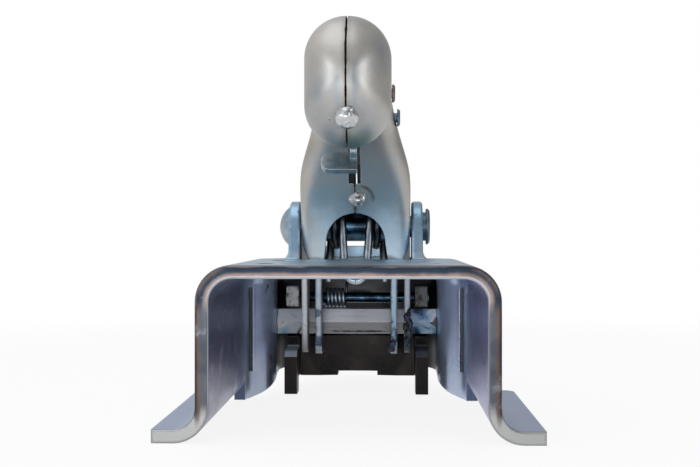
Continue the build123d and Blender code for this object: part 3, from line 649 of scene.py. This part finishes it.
def clasp_iron():
    """Dark cast iron, oiled; its upper hooks are scraped to grey steel, painted bright on the left and dark
    on the right as light and shade.
    """
    f = new_finish("clasp_iron")
    rounded = f.rounded(0.6)
    worn = f.worn(rounded)
    nz = f.axes(f.flat())[2]
    cloud = f.noise(0.04, detail=4.0, warp=0.5)
    grains = f.noise(0.7, detail=4.0, roughness=0.65)
    patch = f.noise(0.16, detail=5.0, roughness=0.66, shift=4.0)
    colour = f.ramp(
        cloud * 0.6 + patch * 0.4,
        [(0.32, tone(26, 25, 25)), (0.5, tone(40, 37, 35)), (0.7, tone(66, 58, 51))],
    )
    right = f.step(f.x, *MIDDLE_X)
    # Painted shade: the rear faces of the legs are darker, the right one darkest.
    leg = f.step(abs(f.x), *LEGS_X) * f.step(f.y, -54.0, -58.0)
    colour = f.mix(leg * 0.7, colour, f.mix(right, tone(22, 21, 20), tone(10, 9, 9)))
    colour = f.mix(worn * 0.4, colour, tone(112, 106, 100))
    scraped = f.step(f.z + (patch - 0.5) * 10.0, *HOOKS_Z) * f.step(patch, 0.36, 0.5)
    # Painted light and shade: the scraped steel is near white on the left hook and dark on the right.
    lit_and_shaded_hook = f.mix(right, tone(220, 224, 228), tone(54, 72, 84))
    colour = f.mix(scraped * 0.85, colour, f.mix(patch, tone(120, 114, 106), lit_and_shaded_hook))
    # Painted highlight: the faces of the knees that look up are pale blue-grey, less on the right.
    knee_highlight = f.step(nz, 0.15, 0.5) * f.band(f.z, *KNEES_Z, 1.5) * f.step(abs(f.x), 30.0, 32.0)
    knee_highlight = knee_highlight * (0.95 - right * 0.8)
    colour = f.mix(knee_highlight, colour, f.mix(patch, tone(186, 196, 202), tone(236, 243, 247)))
    # Black grease with blue in it between the legs and the bar.
    film = f.step(abs(f.x), 30.0, 33.0) * f.band(f.z, -3.0, 6.0, 1.5) * f.step(f.y, -46.0, -50.0)
    colour = f.mix(film * 0.85, colour, f.mix(f.step(patch, 0.5, 0.62), tone(7, 9, 12), tone(26, 96, 146)))
    roughness = 0.42 + (patch - 0.5) * 0.2
    metallic = 0.55 - knee_highlight * 0.38 - scraped * 0.2
    height = grains * 1.2 + patch * 1.4
    return f.metal(colour, roughness, metallic, f.bump(height, 0.1, rounded), Specular_IOR_Level=0.2)


def thick_grease():
    """Black grease with a blue gloss."""
    f = new_finish("thick_grease")
    patch = f.noise(0.35, detail=4.0, roughness=0.6, warp=0.6)
    colour = f.ramp(patch, [(0.4, tone(9, 11, 14)), (0.56, tone(14, 34, 52)), (0.7, tone(30, 104, 158))])
    roughness = 0.2 + patch * 0.2
    return f.metal(colour, roughness, 0.0, f.bump(patch, 0.25, f.flat()))


finishes = {
    "zinc_sheet": housing_zinc(),
    "handle_sheet": handle_zinc(),
    "plated_pins": rivet_zinc(),
    "weld_metal": weld_silver(),
    "lock_steel": lock_steel(),
    "bar_steel": bar_steel(),
    "spring_steel": spring_wire(),
    "clasp_iron": clasp_iron(),
}
slot_of = {part["node"]: part["material_slot"] for part in frame["record"]["subparts"]}
for name, piece in nodes.items():
    piece.data.materials.clear()
    piece.data.materials.append(finishes[slot_of[name]])
nodes["trigger"].data.materials[0] = trigger_zinc()
pin_finish = dark_pin()
for name in ("pivot_sleeve", "clasp_pin", "plate_rivet_left", "plate_rivet_right"):
    nodes[name].data.materials[0] = pin_finish


def smooth_faces(piece):
    """Shades a piece smooth across the seams between its faces."""
    piece.data.polygons.foreach_set("use_smooth", [True] * len(piece.data.polygons))
    weld = piece.modifiers.new("join_faces", "WELD")
    weld.merge_threshold = JOIN_GAP * METRES
    smooth = piece.modifiers.new("edge_split", "EDGE_SPLIT")
    smooth.split_angle = math.radians(SMOOTH_ANGLE)
    smooth.use_edge_sharp = False


for piece in nodes.values():
    smooth_faces(piece)


def add_piece(name, mesh, body, finish):
    """A new object from a bmesh. It rides on a body, or on none."""
    data = bpy.data.meshes.new(name)
    mesh.to_mesh(data)
    mesh.free()
    data.polygons.foreach_set("use_smooth", [True] * len(data.polygons))
    data.materials.append(finish)
    piece = bpy.data.objects.new(name, data)
    bpy.context.scene.collection.objects.link(piece)
    if body:
        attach(piece, body)
    return piece


def copied_mesh(node):
    """The mesh of a CAD node as a bmesh, its faces joined."""
    mesh = bmesh.new()
    mesh.from_mesh(nodes[node].data)
    bmesh.ops.remove_doubles(mesh, verts=mesh.verts, dist=JOIN_GAP * METRES)
    return mesh


def half_spring(name, side):
    """One half of the handle's spring, cut at the middle: the left half or the right half by side."""
    mesh = copied_mesh("handle_spring")
    bmesh.ops.bisect_plane(
        mesh,
        geom=mesh.verts[:] + mesh.edges[:] + mesh.faces[:],
        plane_co=(0.0, 0.0, 0.0),
        plane_no=(-side, 0.0, 0.0),
        clear_outer=True,
    )
    piece = add_piece(name, mesh, None, finishes["spring_steel"])
    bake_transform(piece)
    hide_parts("handle_spring")


half_spring("spring_half_left", -1.0)
half_spring("spring_half_right", 1.0)


def bar_spring():
    """The clasp's spring, its rear leg bent up a little so that it clears the bar when the clasp swings."""
    inner, rear, top = LEG_START
    mesh = copied_mesh("clasp_spring")
    for vert in mesh.verts:
        x, y, z = vert.co / METRES
        if x < inner and y < rear and z < top:
            vert.co.z += LEG_SLOPE * (rear - y) * METRES
    piece = add_piece("clasp_coil", mesh, "clasp", finishes["spring_steel"])
    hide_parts("clasp_spring")


bar_spring()


def weld_bead(name, node, centre, outward, seed):
    """A weld spot: a blob with flat facets, a small crater, and little of it below the sheet."""
    outward = Vector(outward).normalized()
    draw = random.Random(seed)
    flats = []
    for turn in range(14):
        way = Vector((draw.gauss(0, 1), draw.gauss(0, 1), draw.gauss(0, 1))).normalized()
        flats.append((way, draw.uniform(0.8, 1.0)))
    crater = (outward + Vector((0.1, 0.0, -0.35))).normalized()
    mesh = bmesh.new()
    bmesh.ops.create_icosphere(mesh, subdivisions=5, radius=1.0)
    for vert in mesh.verts:
        way = vert.co.normalized()
        reach = 1.05
        for flat, height in flats:
            facing = way.dot(flat)
            if facing > 0.2:
                reach = min(reach, height / facing)
        reach += 0.05 * noise.noise(way * 3.0 + Vector((seed, 0.0, 0.0)))
        reach -= 0.1 * math.exp(-((way - crater).length / 0.22) ** 2)
        depth = way.dot(outward)
        if depth < 0.0:
            reach *= 1.0 + 0.55 * depth
        vert.co = (Vector(centre) + way * reach * WELD_R) * METRES
    every_axis = {"use_axis_x": True, "use_axis_y": True, "use_axis_z": True}
    for turn in range(5):
        bmesh.ops.smooth_vert(mesh, verts=mesh.verts, factor=0.5, **every_axis)
    piece = add_piece(name, mesh, "handle", finishes["weld_metal"])
    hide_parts(node)


weld_bead("weld_bead_upper", "seam_weld_upper", UPPER_WELD, (0.0, -0.8, -0.6), seed=5)
weld_bead("weld_bead_lower", "seam_weld_lower", LOWER_WELD, (0.0, -0.86, -0.5), seed=11)


def grease_clump(name, body, drops, seed):
    """Grease pressed out beside a moving piece: lumps that run into each other, as centres and radii."""
    mesh = bmesh.new()
    for order, (centre, radii) in enumerate(drops):
        made = bmesh.ops.create_icosphere(mesh, subdivisions=4, radius=1.0)
        shift = Vector((seed + order * 3.7, order * 1.3, 0.0))
        for vert in made["verts"]:
            way = vert.co.normalized()
            reach = 0.95 + 0.45 * noise.noise(way * 1.4 + shift) + 0.2 * noise.noise(way * 3.6 + shift)
            lump = (at + reach * part * size for at, part, size in zip(centre, way, radii))
            vert.co = Vector(lump) * METRES
    add_piece(name, mesh, body, grease)


grease = thick_grease()
grease_clump(
    "cheek_grease",
    "handle",
    [
        ((29.4, -69.9, 18.2), (1.3, 1.0, 2.6)),
        ((28.2, -70.3, 15.4), (1.9, 1.2, 2.8)),
        ((29.6, -70.2, 12.2), (1.5, 1.1, 3.2)),
        ((27.6, -70.2, 10.4), (1.6, 1.2, 2.8)),
        ((29.0, -70.2, 7.0), (1.8, 1.0, 3.0)),
        ((28.0, -69.8, 3.4), (1.4, 1.2, 2.6)),
        ((29.0, -69.2, 0.0), (1.2, 1.2, 2.4)),
        ((20.4, -63.2, 0.6), (1.6, 1.1, 2.2)),
        ((19.6, -63.1, -2.4), (1.9, 1.2, 2.2)),
    ],
    seed=29,
)


def floor_finish():
    """White paper that keeps a soft shadow near the coupling."""
    f = new_finish("floor_paper")
    camera = f.add("LightPath", out="Is Camera Ray")
    glossy = f.add("LightPath", out="Is Glossy Ray")
    clear = f.add("LightPath", out="Is Transmission Ray")
    paper = f.add("BsdfDiffuse", sockets={"Color": (0.86, 0.86, 0.86)})
    white = f.add("Emission", sockets={"Color": (1.0, 1.0, 1.0), "Strength": 1.0})
    share = 0.88 + f.step((f.x * f.x + f.y * f.y).root(), 260.0, 620.0) * 0.12
    seen = f.add("MixShader", sockets={0: camera.most(glossy).most(clear) * share, 1: paper, 2: white})
    f.add("OutputMaterial", sockets={"Surface": seen})
    return f.owner


def studio():
    """Pale floor, soft light from above, both sides and behind, and a camera behind the coupling."""
    floor_mesh = bpy.data.meshes.new("floor")
    half = 6.0
    corners = [(-half, -half, 0.0), (half, -half, 0.0), (half, half, 0.0), (-half, half, 0.0)]
    floor_mesh.from_pydata(corners, [], [(0, 1, 2, 3)])
    floor = bpy.data.objects.new("floor", floor_mesh)
    floor.location.z = (FLOOR - 0.02) * METRES
    floor_mesh.materials.append(floor_finish())
    bpy.context.scene.collection.objects.link(floor)

    def lamp(name, place, aim, size, power, colour=(1.0, 1.0, 1.0)):
        data = bpy.data.lights.new(name, "AREA")
        data.shape = "RECTANGLE"
        data.size, data.size_y = size
        data.energy = power
        data.color = colour
        made = bpy.data.objects.new(name, data)
        made.location = place
        made.rotation_euler = (Vector(aim) - Vector(place)).to_track_quat("-Z", "Y").to_euler()
        bpy.context.scene.collection.objects.link(made)

    grip = (0.0, -0.2, 0.12)
    lamp("top_softbox", (-0.22, -0.3, 0.95), (0.0, -0.12, 0.05), (1.0, 0.8), 2.5)
    lamp("left_softbox", (-0.78, -0.74, 0.26), grip, (0.46, 0.22), 1.5, (0.94, 0.97, 1.0))
    lamp("right_softbox", (0.78, -0.74, 0.26), grip, (0.42, 0.22), 1.6, (0.94, 0.97, 1.0))
    lamp("low_softbox", (-0.12, -1.2, 0.03), (0.0, -0.05, 0.01), (0.6, 0.12), 2.0)

    world = bpy.data.worlds.new("studio")
    bpy.context.scene.world = world
    sky = Finish(world)
    x, y, z = sky.axes(sky.add("TexCoord", out="Generated"))
    behind = sky.step(y, 0.15, -0.75)
    above = sky.step(z, -0.1, 0.7)
    level = 0.36 + sky.step(x, 0.7, -0.7) * 0.4 + above * 0.12 - behind * 0.2 * (1.0 - above * 0.6)
    seen = sky.add("LightPath", out="Is Camera Ray")
    strength = level + (1.0 - level) * seen
    light = sky.add("Background", sockets={"Color": (1.0, 1.0, 1.0), "Strength": strength})
    sky.add("OutputWorld", sockets={"Surface": light})

    camera_data = bpy.data.cameras.new("camera")
    camera_data.sensor_width = 36.0
    camera_data.lens = LENS
    camera = bpy.data.objects.new("camera", camera_data)
    camera.location = CAMERA_AT
    camera.rotation_euler = (math.radians(CAMERA_TILT), 0.0, math.radians(CAMERA_TURN))
    bpy.context.scene.collection.objects.link(camera)
    bpy.context.scene.camera = camera


studio()
bpy.context.scene.view_settings.view_transform = "Standard"
